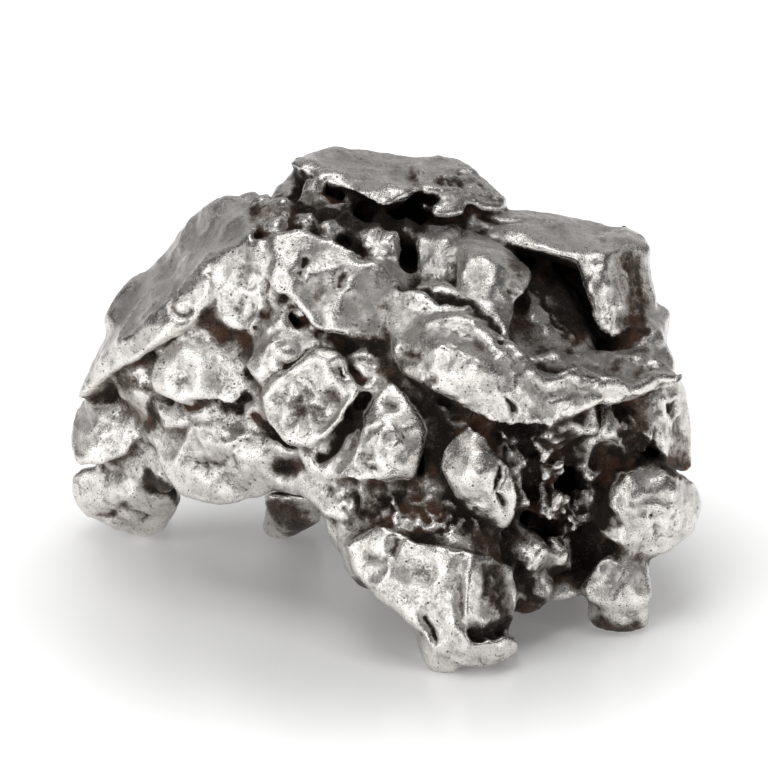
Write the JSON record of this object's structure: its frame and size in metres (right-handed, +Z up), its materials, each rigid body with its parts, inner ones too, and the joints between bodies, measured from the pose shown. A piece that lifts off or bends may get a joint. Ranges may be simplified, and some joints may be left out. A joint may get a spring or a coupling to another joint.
{
  "type": "iron meteorite specimen",
  "caption": "Rough iron meteorite of blocky metal crystals with ledges, a hollow and a foot at the front, for display or study on a flat surface.",
  "frame": {"origin": "middle of the bounding box's base, on the surface that the stone rests on", "axes": "+X to the right as the picture shows it, along the longest extent; +Y away from the viewer; +Z up"},
  "size_m": [0.0632, 0.0464, 0.0416],
  "materials": {
    "iron": "burnished bare iron on the high places, satin on top, dark brown and rusty in the hollows"
  },
  "bodies": {
    "root": {"meteorite": "iron"}
  },
  "joints": []
}
